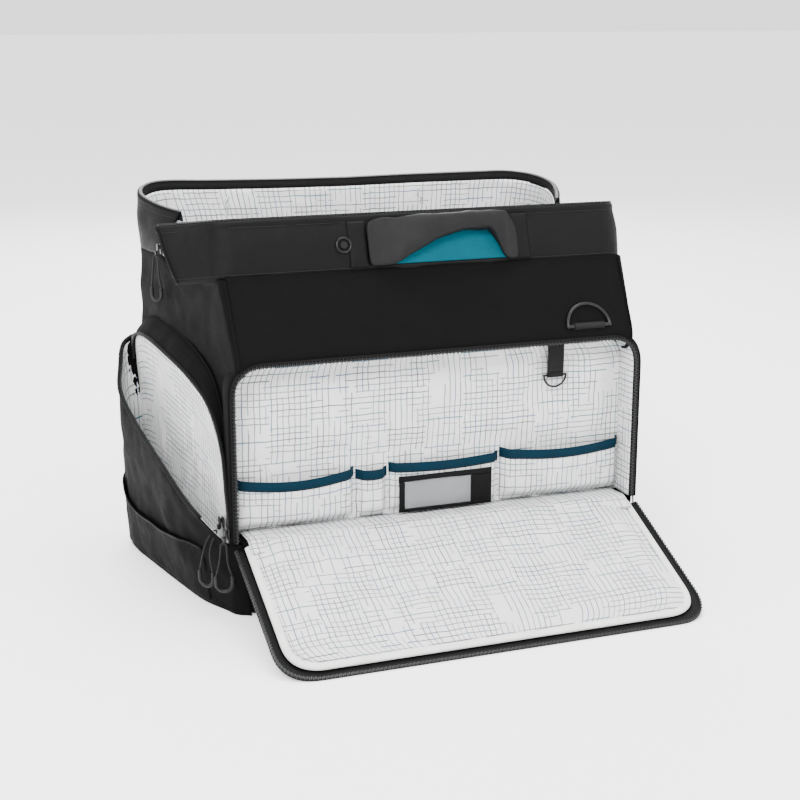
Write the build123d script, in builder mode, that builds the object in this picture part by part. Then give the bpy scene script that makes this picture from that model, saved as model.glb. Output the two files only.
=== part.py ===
from build123d import *

import math
import os

# A high-top gear bag with a doctor-style mouth, an organizer flap and two side pockets.
# Units are millimetres. +X is to the right, +Y to the rear and +Z up. The origin is on the
# ground, under the middle of the mouth.

# Body
FRONT_Y = -175.0  # plane of the pocket ring
REAR_Y = 169.0
FRONT_HALF = 238.0  # half width at FRONT_Y
REAR_HALF = 278.0  # half width at REAR_Y
REAR_CORNER = 38.0
WALL = 5.0
BASE_H = 14.0
BASE_SKIN = 3.0
BASE_ROUND = 9.0
BASE_CORNER = 18.0
BOARD = 3.0
FOLD_Z = 369.0  # fold between the body and the mouth bands
FOLD_Y = -129.0
INNER_FRONT_Y = -137.0  # outer face of the front wall
REAR_SPLIT = 129.0  # seam between a side wall and the rear wall
LINING = 1.5
LINING_TOP = 366.0
SCOOP_Z = 345.0  # the side walls' lowered top edge
SCOOP_END = 60.0  # where the rear band's arms end

# Mouth bands
BAND = 5.0
BAND_BOTTOM_Z = 370.5
BAND_LEAN_Y = 20.0
BAND_TOP_Z = 430.0
BAND_HALF = 240.0
RIM_Z = 440.0
ARM_Z = 424.0
REAR_BAND = 6.0
STAY_W = 12.0
STAY_T = 2.0

# Front pocket
RING_HALF = 248.0
RING_T = 8.0
RING_TOP = 287.0
RING_ROUND = 40.0
HINGE_Z = 86.0
PANEL_T = 3.0
POCKET_SKIN = 1.5
POCKET_FLOOR = 88.0
HEM_H = 10.0
GAP = 0.3  # clearance between bodies

# Flap
FLAP_HALF = 247.0
FLAP_LENGTH = 204.0
FLAP_ROUND = 45.0
FLAP_START = 7.0
FLAP_ZIP_W = 7.0
FLAP_PIPING_W = 10.0

# Side pockets
POCKET_FRONT = -136.5
POCKET_REAR = 124.0
POCKET_WALL = 3.0
DOOR_Z = 88.0
DOOR_T = 3.0
DOOR_FRONT = (270.0, -150.0)
DOOR_REAR = (303.0, 125.0)
LEFT_LEAN = 6.0  # outward, degrees from upright
RIGHT_LEAN = -8.0

# Hardware
D_RADIUS = 26.5
D_WIRE = 2.0
KEY_RADIUS = 14.0
KEY_WIRE = 1.25
CORD_R = 1.0
GRIP_WIRE = 2.0
GRIP_LEG = 8.0

os.makedirs("parts", exist_ok=True)


def finish(piece, name):
    piece.part.label = name
    export_step(piece.part, f"parts/{name}.step")


def half_width(y):
    return FRONT_HALF + (y - FRONT_Y) * (REAR_HALF - FRONT_HALF) / (REAR_Y - FRONT_Y)


def body_plan(front, inset=0.0, margin=0.0, rear=REAR_Y, corner=REAR_CORNER, front_corner=0.0):
    """The tapered plan of the body from a given front edge, with round rear corners."""
    a, b = half_width(front) - margin, half_width(rear) - margin
    with BuildSketch() as plan:
        Polygon((-a, front), (a, front), (b, rear), (-b, rear), align=None)
        fillet(plan.vertices().group_by(Axis.Y)[-1], corner)
        if front_corner:
            fillet(plan.vertices().group_by(Axis.Y)[0], front_corner)
        if inset:
            offset(amount=-inset, mode=Mode.REPLACE)
    return plan.sketch


def arched(half, bottom, top, radius):
    """A panel outline with round top corners, drawn in width and height."""
    with BuildSketch() as outline:
        Polygon((-half, bottom), (half, bottom), (half, top), (-half, top), align=None)
        fillet(outline.vertices().group_by(Axis.Y)[-1], radius)
    return outline.sketch


def side_scoop(inner):
    """What is cut from the top of both sides between the front corner and the rear band."""
    with BuildPart() as scoop:
        with BuildSketch(Plane.YZ.offset(inner)):
            Polygon(
                (INNER_FRONT_Y - 5, SCOOP_Z),
                (SCOOP_END - 22, SCOOP_Z),
                (SCOOP_END, FOLD_Z + 1),
                (INNER_FRONT_Y - 5, FOLD_Z + 1),
                align=None,
            )
        extrude(amount=REAR_HALF + 20 - inner)
        mirror(about=Plane.YZ)
    return scoop.part


# ---------------------------------------------------------------- body

tray_outer = body_plan(FRONT_Y, front_corner=BASE_CORNER)
tray_inner = body_plan(FRONT_Y, WALL, front_corner=BASE_CORNER)
wall_outer = body_plan(INNER_FRONT_Y)
wall_inner = body_plan(INNER_FRONT_Y - 30, WALL)

with BuildPart() as base_tray:
    with BuildSketch():
        add(tray_outer)
    extrude(amount=BASE_H)
    fillet(base_tray.faces().sort_by(Axis.Z)[0].edges(), BASE_ROUND)
    with BuildSketch(Plane.XY.offset(BASE_SKIN)):
        add(tray_inner)
    extrude(amount=BASE_H, mode=Mode.SUBTRACT)
finish(base_tray, "base_tray")

with BuildPart() as base_board:
    with BuildSketch(Plane.XY.offset(BASE_SKIN)):
        add(tray_inner)
    extrude(amount=BOARD)
finish(base_board, "base_board")

with BuildPart() as rear_wall:
    with BuildSketch(Plane.XY.offset(BASE_H)):
        add(wall_outer)
        add(wall_inner, mode=Mode.SUBTRACT)
        with Locations((0, REAR_SPLIT + 50)):
            Rectangle(700, 100, mode=Mode.INTERSECT)
    extrude(amount=FOLD_Z - BASE_H)
finish(rear_wall, "rear_wall")

wall_scoop = side_scoop(200)
with BuildPart() as left_wall:
    with BuildSketch(Plane.XY.offset(BASE_H)):
        add(wall_outer)
        add(wall_inner, mode=Mode.SUBTRACT)
        with Locations((-200, REAR_SPLIT - 200)):
            Rectangle(400, 400, mode=Mode.INTERSECT)
    extrude(amount=FOLD_Z - BASE_H)
    add(wall_scoop, mode=Mode.SUBTRACT)
finish(left_wall, "left_wall")

with BuildPart() as right_wall:
    mirror(left_wall.part, about=Plane.YZ)
finish(right_wall, "right_wall")

slope = (FOLD_Y - FRONT_Y) / (FOLD_Z - RING_TOP)  # run of the shoulder for one of rise
shoulder_top = RING_TOP + (INNER_FRONT_Y - FRONT_Y) / slope

with BuildPart() as front_wall:
    with BuildSketch(Plane.YZ):
        Polygon(
            (INNER_FRONT_Y, BASE_H),
            (FOLD_Y, BASE_H),
            (FOLD_Y, FOLD_Z),
            (INNER_FRONT_Y, shoulder_top),
            align=None,
        )
    extrude(amount=half_width(INNER_FRONT_Y) - WALL - 0.1, both=True)
finish(front_wall, "front_wall")

with BuildPart() as front_shoulder:
    with BuildSketch(Plane.YZ):
        Polygon(
            (FRONT_Y, RING_TOP),
            (INNER_FRONT_Y, RING_TOP),
            (INNER_FRONT_Y, shoulder_top),
            align=None,
        )
    extrude(amount=BAND_HALF, both=True)
finish(front_shoulder, "front_shoulder")

with BuildPart() as front_apron:
    with BuildSketch(Plane.XY.offset(BASE_H)):
        Polygon(
            (-FRONT_HALF, FRONT_Y),
            (FRONT_HALF, FRONT_Y),
            (FRONT_HALF, INNER_FRONT_Y),
            (-FRONT_HALF, INNER_FRONT_Y),
            align=None,
        )
    extrude(amount=HINGE_Z - BASE_H)
    with BuildSketch(Plane.XY.offset(BASE_H)):
        Polygon(
            (4 - FRONT_HALF, FRONT_Y + 4),
            (FRONT_HALF - 4, FRONT_Y + 4),
            (FRONT_HALF - 4, INNER_FRONT_Y),
            (4 - FRONT_HALF, INNER_FRONT_Y),
            align=None,
        )
    extrude(amount=HINGE_Z - BASE_H - 4, mode=Mode.SUBTRACT)
finish(front_apron, "front_apron")

lining_plan = body_plan(FOLD_Y, margin=WALL + 0.1, rear=REAR_Y - WALL - 0.1, corner=REAR_CORNER - WALL)
with BuildSketch() as lining_inner:
    add(lining_plan)
    offset(amount=-LINING, mode=Mode.REPLACE)
lining_scoop = side_scoop(225)
lining_floor = BASE_SKIN + BOARD
with BuildPart() as main_lining:
    with BuildSketch(Plane.XY.offset(lining_floor)):
        add(lining_plan)
    extrude(amount=LINING_TOP - lining_floor)
    with BuildSketch(Plane.XY.offset(lining_floor + LINING)):
        add(lining_inner.sketch)
    extrude(amount=LINING_TOP, mode=Mode.SUBTRACT)
    add(lining_scoop, mode=Mode.SUBTRACT)
finish(main_lining, "main_lining")

# ---------------------------------------------------------------- rear band


def rear_strip(outer, inner):
    """A U-shaped strip of the plan, between two insets, from the rear to the arms' ends."""
    with BuildSketch() as strip:
        add(body_plan(INNER_FRONT_Y, outer))
        add(body_plan(INNER_FRONT_Y - 30, inner), mode=Mode.SUBTRACT)
        with Locations((0, SCOOP_END + 100)):
            Rectangle(700, 200, mode=Mode.INTERSECT)
    return strip.sketch


band_strip = rear_strip(0.3, REAR_BAND)
stay_strip = rear_strip(2.0, 2.0 + STAY_T)
zip_strip = rear_strip(REAR_BAND, REAR_BAND + 2)
with BuildPart() as rear_mouth_band:
    with BuildSketch(Plane.XY.offset(FOLD_Z)):
        add(band_strip)
    extrude(amount=RIM_Z - FOLD_Z)
    with BuildSketch(Plane.YZ):
        Polygon(
            (SCOOP_END - 5, ARM_Z),
            (REAR_Y - 30, RIM_Z),
            (REAR_Y - 30, RIM_Z + 10),
            (SCOOP_END - 5, RIM_Z + 10),
            align=None,
        )
    extrude(amount=300, both=True, mode=Mode.SUBTRACT)
    with BuildSketch(Plane.XY.offset(FOLD_Z + 30)):
        add(stay_strip)
    extrude(amount=STAY_W, mode=Mode.SUBTRACT)
finish(rear_mouth_band, "rear_mouth_band")

with BuildPart() as rear_frame_stay:
    with BuildSketch(Plane.XY.offset(FOLD_Z + 30)):
        add(stay_strip)
    extrude(amount=STAY_W)
finish(rear_frame_stay, "rear_frame_stay")

with BuildPart() as rear_mouth_zip:
    with BuildSketch(Plane.XY.offset(ARM_Z - 16)):
        add(zip_strip)
    extrude(amount=STAY_W)
finish(rear_mouth_zip, "rear_mouth_zip")

# ---------------------------------------------------------------- front band

band_rise = BAND_TOP_Z - BAND_BOTTOM_Z
band_length = math.hypot(BAND_LEAN_Y, band_rise)
# Drawn in width and in height along the band. The plane's normal points out of the bag.
band_plane = Plane(
    origin=(0, FOLD_Y, BAND_BOTTOM_Z),
    x_dir=(1, 0, 0),
    z_dir=(0, -band_rise, BAND_LEAN_Y),
)


def slab(half, low, high):
    """A rectangle on the band, centred, between two heights."""
    with BuildSketch() as face:
        Polygon((-half, low), (half, low), (half, high), (-half, high), align=None)
    return face.sketch


wing_up = Vector(0, BAND_LEAN_Y, band_rise)


def wing_plane(side, along):
    """Drawn along the wing from the band's corner and up it. The left normal points inwards."""
    return Plane(
        origin=(side * BAND_HALF, FOLD_Y, BAND_BOTTOM_Z), x_dir=along, z_dir=along.cross(wing_up)
    )


# The left wing flares out and the right one lies closer to the body.
wings = [
    (wing_plane(-1, Vector(-0.48, 0.877, 0)), BAND - 1),
    (wing_plane(1, Vector(0.342, 0.94, 0)), 1 - BAND),
]
stay_low = band_length - 24
stay_slab = slab(225, stay_low, stay_low + STAY_W)
with BuildPart() as front_mouth_band:
    for plane, thickness in wings:
        with BuildSketch(plane):
            Polygon((0, 0), (17.5, 60.3), (117, 46.5), (63.5, -11.5), align=None)
        extrude(amount=thickness)
    with BuildSketch(band_plane.offset(-BAND)):
        add(slab(BAND_HALF, 0, band_length))
    extrude(amount=BAND)
    with BuildSketch(band_plane.offset(-1.5 - STAY_T)):
        add(stay_slab)
    extrude(amount=STAY_T, mode=Mode.SUBTRACT)
finish(front_mouth_band, "front_mouth_band")

with BuildPart() as front_frame_stay:
    with BuildSketch(band_plane.offset(-1.5 - STAY_T)):
        add(stay_slab)
    extrude(amount=STAY_T)
finish(front_frame_stay, "front_frame_stay")

with BuildPart() as front_mouth_zip:
    with BuildSketch(band_plane.offset(-BAND - 2)):
        add(slab(BAND_HALF - 12, band_length - 12, band_length))
    extrude(amount=2)
finish(front_mouth_zip, "front_mouth_zip")

handle_mid = 20.0
with BuildPart() as front_handle_lining:
    with BuildSketch(band_plane):
        with Locations((handle_mid, 24)):
            Rectangle(150, 36)
    extrude(amount=1)
finish(front_handle_lining, "front_handle_lining")

with BuildPart() as snap_stud:
    with BuildSketch(band_plane):
        with Locations((-100, 29)):
            Circle(7)
    extrude(amount=1.5)
    with BuildSketch(band_plane.offset(1.5)):
        with Locations((-100, 29)):
            Circle(4)
    extrude(amount=2.5)
finish(snap_stud, "snap_stud")


def handle_arch(mid):
    """The padded handle seen from the front: flared ends and a long low arch between them."""
    with BuildSketch() as arch:
        Polygon(
            (mid - 92, 4),
            (mid - 88, 57),
            (mid + 80, 59),
            (mid + 88, 4),
            (mid + 74, 4),
            (mid + 56, 38),
            (mid + 5, 38),
            (mid - 64, 4),
            align=None,
        )
        fillet(arch.vertices().group_by(Axis.Y)[-1], 14)
        fillet(arch.vertices().sort_by_distance((mid + 56, 38))[0], 12)
        fillet(arch.vertices().sort_by_distance((mid + 5, 38))[0], 30)
    return arch.sketch


handle_t = 14.0
handle_gap = 1.8
front_arch = handle_arch(handle_mid)
with BuildPart() as front_handle:
    with BuildSketch(band_plane.offset(handle_gap)):
        add(front_arch)
    extrude(amount=handle_t)
    fillet(front_handle.faces().sort_by(Axis.Y)[0].edges(), 4)
finish(front_handle, "front_handle")

rear_plane = Plane(origin=(0, REAR_Y, FOLD_Z), x_dir=(-1, 0, 0), z_dir=(0, 1, 0))
rear_arch = handle_arch(0)
with BuildPart() as rear_handle:
    with BuildSketch(rear_plane.offset(handle_gap)):
        add(rear_arch)
    extrude(amount=handle_t)
    fillet(rear_handle.faces().sort_by(Axis.Y)[-1].edges(), 4)
finish(rear_handle, "rear_handle")

# ---------------------------------------------------------------- front pocket

ring_outer = arched(RING_HALF, HINGE_Z, RING_TOP, RING_ROUND)
ring_inner = arched(RING_HALF - RING_T, HINGE_Z, RING_TOP - RING_T, RING_ROUND - RING_T)
ring_zip_t = 3.0

with BuildPart() as pocket_ring:
    with BuildSketch(Plane.XZ.offset(-INNER_FRONT_Y)):
        add(ring_outer)
        add(ring_inner, mode=Mode.SUBTRACT)
    extrude(amount=INNER_FRONT_Y - FRONT_Y - ring_zip_t)
finish(pocket_ring, "pocket_ring")

with BuildPart() as ring_zip:
    with BuildSketch(Plane.XZ.offset(-FRONT_Y - ring_zip_t)):
        add(ring_outer)
        add(ring_inner, mode=Mode.SUBTRACT)
    extrude(amount=ring_zip_t)
finish(ring_zip, "ring_zip")

back_y = INNER_FRONT_Y - PANEL_T
with BuildPart() as organizer_panel:
    with BuildSketch(Plane.XZ.offset(-INNER_FRONT_Y)):
        add(ring_inner)
    extrude(amount=PANEL_T)
finish(organizer_panel, "organizer_panel")


def rectangle(left, right, low, high):
    with BuildSketch() as face:
        Polygon((left, low), (right, low), (right, high), (left, high), align=None)
    return face.sketch


# name, left edge, right edge, top, depth
compartments = [
    ("left", -238, -97, 150, 18),
    ("pen", -95, -57, 143, 11),
    ("middle", -55, 81, 150, 12),
    ("right", 83, 238, 154, 18),
]
for name, left, right, top, depth in compartments:
    outer_face = rectangle(left, right, POCKET_FLOOR, top)
    inner_face = rectangle(left + POCKET_SKIN, right - POCKET_SKIN, POCKET_FLOOR + POCKET_SKIN, top + 1)
    hem_face = rectangle(left, right, top - HEM_H, top)
    with BuildPart() as compartment:
        with BuildSketch(Plane.XZ.offset(-back_y)):
            add(outer_face)
        extrude(amount=depth)
        with BuildSketch(Plane.XZ.offset(-back_y)):
            add(inner_face)
        extrude(amount=depth - POCKET_SKIN, mode=Mode.SUBTRACT)
    finish(compartment, f"{name}_compartment")
    with BuildPart() as hem:
        with BuildSketch(Plane.XZ.offset(-back_y + depth)):
            add(hem_face)
        extrude(amount=1)
    finish(hem, f"{name}_hem")

window_y = back_y - 12
frame_outer = rectangle(-46, 69, 93, 135)
frame_inner = rectangle(-39, 43, 93, 128)
with BuildPart() as id_window_frame:
    with BuildSketch(Plane.XZ.offset(-window_y)):
        add(frame_outer)
        add(frame_inner, mode=Mode.SUBTRACT)
    extrude(amount=1.6)
finish(id_window_frame, "id_window_frame")

with BuildPart() as id_window:
    with BuildSketch(Plane.XZ.offset(-window_y)):
        add(frame_inner)
    extrude(amount=0.8)
finish(id_window, "id_window")

# ---------------------------------------------------------------- flap

flap_drop = math.asin((HINGE_Z - GAP - 4) / FLAP_LENGTH)  # below level, radians
# Drawn in width and, at negative heights, in the distance from the hinge.
flap_plane = Plane(
    origin=(0, FRONT_Y, HINGE_Z),
    x_dir=(1, 0, 0),
    z_dir=(0, -math.sin(flap_drop), math.cos(flap_drop)),
)


def flap_outline(inset):
    half, far = FLAP_HALF - inset, inset - FLAP_LENGTH
    with BuildSketch() as outline:
        Polygon((-half, far), (half, far), (half, -FLAP_START), (-half, -FLAP_START), align=None)
        fillet(outline.vertices().group_by(Axis.Y)[0], FLAP_ROUND - inset)
    return outline.sketch


flap_whole = flap_outline(0)
flap_inside_zip = flap_outline(FLAP_ZIP_W)
flap_inside_piping = flap_outline(FLAP_ZIP_W + FLAP_PIPING_W)

with BuildPart() as flap_zip:
    with BuildSketch(flap_plane.offset(-4.3)):
        add(flap_whole)
        add(flap_inside_zip, mode=Mode.SUBTRACT)
    extrude(amount=2)
finish(flap_zip, "flap_zip")

with BuildPart() as flap_piping:
    with BuildSketch(flap_plane.offset(-6.3)):
        add(flap_inside_zip)
        add(flap_inside_piping, mode=Mode.SUBTRACT)
    extrude(amount=6)
finish(flap_piping, "flap_piping")

with BuildPart() as flap_panel:
    with BuildSketch(flap_plane.offset(-5.8)):
        add(flap_inside_piping)
    extrude(amount=5)
finish(flap_panel, "flap_panel")

# ---------------------------------------------------------------- rings and straps


def d_ring(radius, wire, plane):
    """A half ring whose straight bar lies on the plane's X axis and whose arch goes to its +Y."""
    with BuildPart() as ring:
        with BuildSketch(Plane.XZ):
            with Locations((radius, 0)):
                Circle(wire)
        revolve(axis=Axis.Z, revolution_arc=180)
        with BuildSketch(Plane.YZ):
            Circle(wire)
        extrude(amount=radius, both=True)
        with Locations((radius, 0, 0), (-radius, 0, 0)):
            Sphere(wire * 1.2)
    return plane * ring.part


def ring_sleeve(length, wire, gap, plane):
    """A webbing sleeve round the bar of a D-ring, with room for the bar to turn."""
    with BuildPart() as sleeve:
        with BuildSketch(Plane.YZ):
            Circle(wire + gap + 0.9)
            Circle(wire + gap, mode=Mode.SUBTRACT)
        extrude(amount=length / 2, both=True)
    return plane * sleeve.part


ring_reach = D_WIRE + GAP + 0.9
shoulder_dir = Vector(0, FOLD_Y - FRONT_Y, FOLD_Z - RING_TOP).normalized()
shoulder_out = Vector(0, -shoulder_dir.Z, shoulder_dir.Y)
ring_foot = Vector(180, FRONT_Y + 10 * slope, RING_TOP + 10) + shoulder_out * ring_reach
front_ring_plane = Plane(origin=ring_foot, x_dir=(1, 0, 0), z_dir=shoulder_out)
rear_ring_plane = Plane(
    origin=(-180, REAR_Y + ring_reach, 335), x_dir=(1, 0, 0), z_dir=(0, 1, 0)
)
for name, plane in (("front", front_ring_plane), ("rear", rear_ring_plane)):
    placed_ring = d_ring(D_RADIUS, D_WIRE, plane)
    placed_sleeve = ring_sleeve(38, D_WIRE, GAP, plane)
    with BuildPart() as ring:
        add(placed_ring)
    finish(ring, f"{name}_d_ring")
    with BuildPart() as sleeve:
        add(placed_sleeve)
    finish(sleeve, f"{name}_ring_loop")

KEY_X = 151.0
key_y = back_y - 6.0
key_z = 236.5
key_plane = Plane(origin=(KEY_X, key_y, key_z), x_dir=(1, 0, 0), z_dir=(0, 1, 0))
placed_key_ring = d_ring(KEY_RADIUS, KEY_WIRE, key_plane)
placed_key_sleeve = ring_sleeve(20, KEY_WIRE, GAP, key_plane)
with BuildPart() as key_ring:
    add(placed_key_ring)
finish(key_ring, "key_ring")

strap_low = key_z + KEY_WIRE + GAP + 0.4
with BuildPart() as key_strap:
    with BuildSketch(Plane.XZ.offset(-key_y - 1)):
        Polygon(
            (KEY_X - 10, strap_low),
            (KEY_X + 10, strap_low),
            (KEY_X + 10, RING_TOP - RING_T - GAP),
            (KEY_X - 10, RING_TOP - RING_T - GAP),
            align=None,
        )
    extrude(amount=2)
    add(placed_key_sleeve)
finish(key_strap, "key_strap")

# ---------------------------------------------------------------- side pockets


def side_plan(grow):
    """The plan of the left pocket, fuller to the rear, between the wall and its outer curve."""
    with BuildSketch() as plan:
        Polygon(
            (-half_width(POCKET_FRONT), POCKET_FRONT),
            (-half_width(POCKET_REAR), POCKET_REAR),
            (-304, POCKET_REAR),
            (-299, 39),
            (-270, -119),
            (-254, POCKET_FRONT),
            align=None,
        )
        fillet(plan.vertices().sort_by_distance((-299, 39))[0], 150)
        fillet(plan.vertices().sort_by_distance((-270, -119))[0], 40)
        if grow:
            offset(amount=grow, mode=Mode.REPLACE)
    return plan.sketch


pocket_plan = side_plan(0)
pocket_hollow = side_plan(-POCKET_WALL)
pocket_skin = side_plan(2.2)
pocket_clear = side_plan(0.2)

with BuildPart() as left_pocket_panel:
    with BuildSketch():
        add(pocket_plan)
    extrude(amount=DOOR_Z - 1)
    with BuildSketch(Plane.XY.offset(POCKET_WALL)):
        add(pocket_hollow)
    extrude(amount=DOOR_Z, mode=Mode.SUBTRACT)
finish(left_pocket_panel, "left_pocket_panel")

with BuildPart() as right_pocket_panel:
    mirror(left_pocket_panel.part, about=Plane.YZ)
finish(right_pocket_panel, "right_pocket_panel")

with BuildPart() as left_slip_pocket:
    with BuildSketch(Plane.XY.offset(6)):
        add(pocket_skin)
        add(pocket_clear, mode=Mode.SUBTRACT)
        add(tray_outer, mode=Mode.SUBTRACT)
        with Locations((-395, 10)):
            Rectangle(250, 205, mode=Mode.INTERSECT)
    extrude(amount=74)
finish(left_slip_pocket, "left_slip_pocket")


def door_plane(side, lean):
    """Drawn along the hinge line from the front and in height. The normal points outwards."""
    start = Vector(side * DOOR_FRONT[0], DOOR_FRONT[1], DOOR_Z)
    end = Vector(side * DOOR_REAR[0], DOOR_REAR[1], DOOR_Z)
    along = (end - start).normalized()
    out = Vector(side * along.Y, -side * along.X, 0)
    tilt = math.radians(lean)
    up = Vector(0, 0, math.cos(tilt)) + out * math.sin(tilt)
    return Plane(origin=start, x_dir=along, z_dir=along.cross(up))


# The plane's normal points inwards on the left and outwards on the right.
left_door_plane = door_plane(-1, LEFT_LEAN)
right_door_plane = door_plane(1, RIGHT_LEAN)
with BuildPart() as left_pocket_door:
    with BuildSketch(left_door_plane):
        Polygon((22, 1), (276, 1), (276, 128), (262, 168), (236, 156), (190, 112), (22, 14), align=None)
    extrude(amount=DOOR_T)
finish(left_pocket_door, "left_pocket_door")

with BuildPart() as right_pocket_door:
    with BuildSketch(right_door_plane) as door_face:
        Polygon((22, 1), (276, 1), (276, 168), (22, 168), align=None)
        fillet(door_face.vertices().group_by(Axis.Y)[-1], 45)
    extrude(amount=-DOOR_T)
finish(right_pocket_door, "right_pocket_door")

wall_dir = Vector(-(REAR_HALF - FRONT_HALF), REAR_Y - FRONT_Y, 0).normalized()
left_wall_plane = Plane(
    origin=(-half_width(0), 0, 0), x_dir=wall_dir * -1, z_dir=(-wall_dir.Y, wall_dir.X, 0)
)
zip_front, zip_rear, zip_top, zip_w = 132.0, -116.0, 257.0, 8.0


def pocket_zip_outline(inset):
    with BuildSketch() as outline:
        Polygon(
            (zip_rear + inset, DOOR_Z),
            (zip_front - inset, DOOR_Z),
            (zip_front - inset, zip_top - inset),
            (zip_rear + inset, zip_top - inset),
            align=None,
        )
        fillet(outline.vertices().group_by(Axis.Y)[-1], 48 - inset)
    return outline.sketch


pocket_zip_outer = pocket_zip_outline(0)
pocket_zip_inner = pocket_zip_outline(zip_w)
with BuildPart() as left_pocket_zip:
    with BuildSketch(left_wall_plane):
        add(pocket_zip_outer)
        add(pocket_zip_inner, mode=Mode.SUBTRACT)
    extrude(amount=2.5)
finish(left_pocket_zip, "left_pocket_zip")

with BuildPart() as right_pocket_zip:
    mirror(left_pocket_zip.part, about=Plane.YZ)
finish(right_pocket_zip, "right_pocket_zip")

# ---------------------------------------------------------------- sliders and pulls

SLIDER_SIZE = (7.0, 9.0, 13.0)


def arc_radii(points):
    """The largest arc that each corner of a route has room for."""
    places = [Vector(*point) for point in points]
    radii = []
    for before, corner, after in zip(places, places[1:], places[2:]):
        turn = math.radians((corner - before).get_angle(after - corner))
        shorter = min((corner - before).length, (after - corner).length)
        radii.append(0.45 * shorter / math.tan(turn / 2))
    return radii


# name, slider centre, side of the bag, how far the pull hangs forwards, the direction that its
# loop spreads in, grip radius, length of the loop, and how far out it lies from foot to top
pulls = [
    ("mouth", (-268.7, SCOOP_END - 5, 378), -1, 0, (0.64, -0.768), 7, 38, (0, 0.7, 0, 0)),
    ("flap", (-252.8, -170, 97), -1, 6, (0.94, -0.341), 9, 38, (0, 0.7, 0, 0)),
    ("left_pocket", (-252.8, -148, 104), -1, 3, (0.64, -0.768), 9, 46, (14, 14.5, 11, 2)),
    ("right_pocket", (252.8, -148, 95), 1, 0, (0, 1), 7, 40, (0, 0.7, 0, 0)),
]
for name, centre, side, forwards, spread, grip_r, drop, reach in pulls:
    with BuildPart() as slider:
        with Locations(centre):
            Box(*SLIDER_SIZE)
        chamfer(slider.edges().filter_by(Axis.X), 2.2)
    finish(slider, f"{name}_slider")

    x, y = centre[0] + side * 5, centre[1] - forwards
    top = centre[2] - SLIDER_SIZE[2] / 2 - GAP - CORD_R
    foot = top - drop
    # Each strand as (sideways, outwards, height) above the grip, from the grip to the slider.
    widths = (grip_r, 4.8, 3.6, 3.0)
    heights = (0, 0.33 * drop, 0.72 * drop, drop)
    strand = list(zip(widths, reach, heights))
    route = [
        (x + side * out + turn * wide * spread[0], y + turn * wide * spread[1], foot + up)
        for turn, points in ((-1, strand), (1, reversed(strand)))
        for wide, out, up in points
    ]
    radii = arc_radii(route)
    with BuildPart() as pull_cord:
        with BuildLine() as cord_line:
            FilletPolyline(*route, radius=radii)
        tube_path = cord_line.wires()[0]
        with BuildSketch(Plane(origin=tube_path @ 0, z_dir=tube_path % 0)):
            Circle(CORD_R)
        sweep(path=tube_path)
    finish(pull_cord, f"{name}_pull_cord")
    tube_length = pull_cord.part.volume / (math.pi * CORD_R**2)
    print(name, "cord", round(tube_path.length, 1), "mm, tube", round(tube_length, 1), "mm")
    print("    radii", [round(radius, 1) for radius in radii])

    bend = foot - GRIP_LEG
    start, end = route[0], route[-1]
    with BuildPart() as pull_grip:
        with BuildLine() as grip_line:
            Line(start, (*start[:2], bend))
            ThreePointArc((*start[:2], bend), (x + side * reach[0], y, bend - grip_r), (*end[:2], bend))
            Line((*end[:2], bend), end)
        with BuildSketch(Plane.XY.offset(foot)):
            with Locations(start[:2]):
                Circle(GRIP_WIRE)
        sweep(path=grip_line.wires()[0])
    finish(pull_grip, f"{name}_pull_grip")
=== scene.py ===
import math

import bmesh
import bpy
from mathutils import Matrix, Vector, noise


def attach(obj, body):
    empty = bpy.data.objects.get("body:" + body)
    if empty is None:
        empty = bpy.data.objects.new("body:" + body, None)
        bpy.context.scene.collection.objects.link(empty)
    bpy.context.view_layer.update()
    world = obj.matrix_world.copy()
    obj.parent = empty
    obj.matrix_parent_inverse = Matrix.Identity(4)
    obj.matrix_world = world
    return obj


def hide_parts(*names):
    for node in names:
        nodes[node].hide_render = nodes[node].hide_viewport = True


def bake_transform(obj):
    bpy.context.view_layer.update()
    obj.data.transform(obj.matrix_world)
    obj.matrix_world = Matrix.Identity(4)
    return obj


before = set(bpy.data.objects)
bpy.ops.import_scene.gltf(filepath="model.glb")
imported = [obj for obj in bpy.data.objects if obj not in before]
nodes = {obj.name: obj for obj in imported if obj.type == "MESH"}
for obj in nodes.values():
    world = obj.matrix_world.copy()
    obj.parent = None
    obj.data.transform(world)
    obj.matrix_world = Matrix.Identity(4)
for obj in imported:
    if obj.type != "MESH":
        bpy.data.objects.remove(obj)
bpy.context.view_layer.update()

# Shapes are worked out in millimetres and scaled to metres when a mesh is made.
MM = 0.001
FRONT_Y, REAR_Y = -175.0, 169.0
INNER_Y = -137.0
FOLD_Y, FOLD_Z = -129.0, 369.0
HINGE_Z = 86.0
RING_HALF, RING_TOP, RING_ROUND = 248.0, 287.0, 40.0
FLAP_HALF, FLAP_LEN, FLAP_ROUND = 247.0, 204.0, 45.0
PANEL_Y = -140.0

# ---------------------------------------------------------------- camera and light

scene = bpy.context.scene
camera_data = bpy.data.cameras.new("camera")
camera = bpy.data.objects.new("camera", camera_data)
scene.collection.objects.link(camera)
camera.location = Vector((-624.7, -1692.6, 650.7)) * MM
aim = Vector((0, 0, 0.2)) - camera.location
camera.rotation_mode = "QUATERNION"
camera.rotation_quaternion = aim.to_track_quat("-Z", "Y")
camera_data.sensor_width = 36
camera_data.lens = 68.1
camera_data.shift_x = 0.012
camera_data.shift_y = -0.0156
scene.camera = camera


def area_light(name, place, target, size, power):
    data = bpy.data.lights.new(name, "AREA")
    data.shape = "RECTANGLE"
    data.size, data.size_y = size
    data.energy = power
    lamp = bpy.data.objects.new(name, data)
    scene.collection.objects.link(lamp)
    lamp.location = place
    lamp.rotation_mode = "QUATERNION"
    lamp.rotation_quaternion = (Vector(target) - lamp.location).to_track_quat("-Z", "Y")


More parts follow.
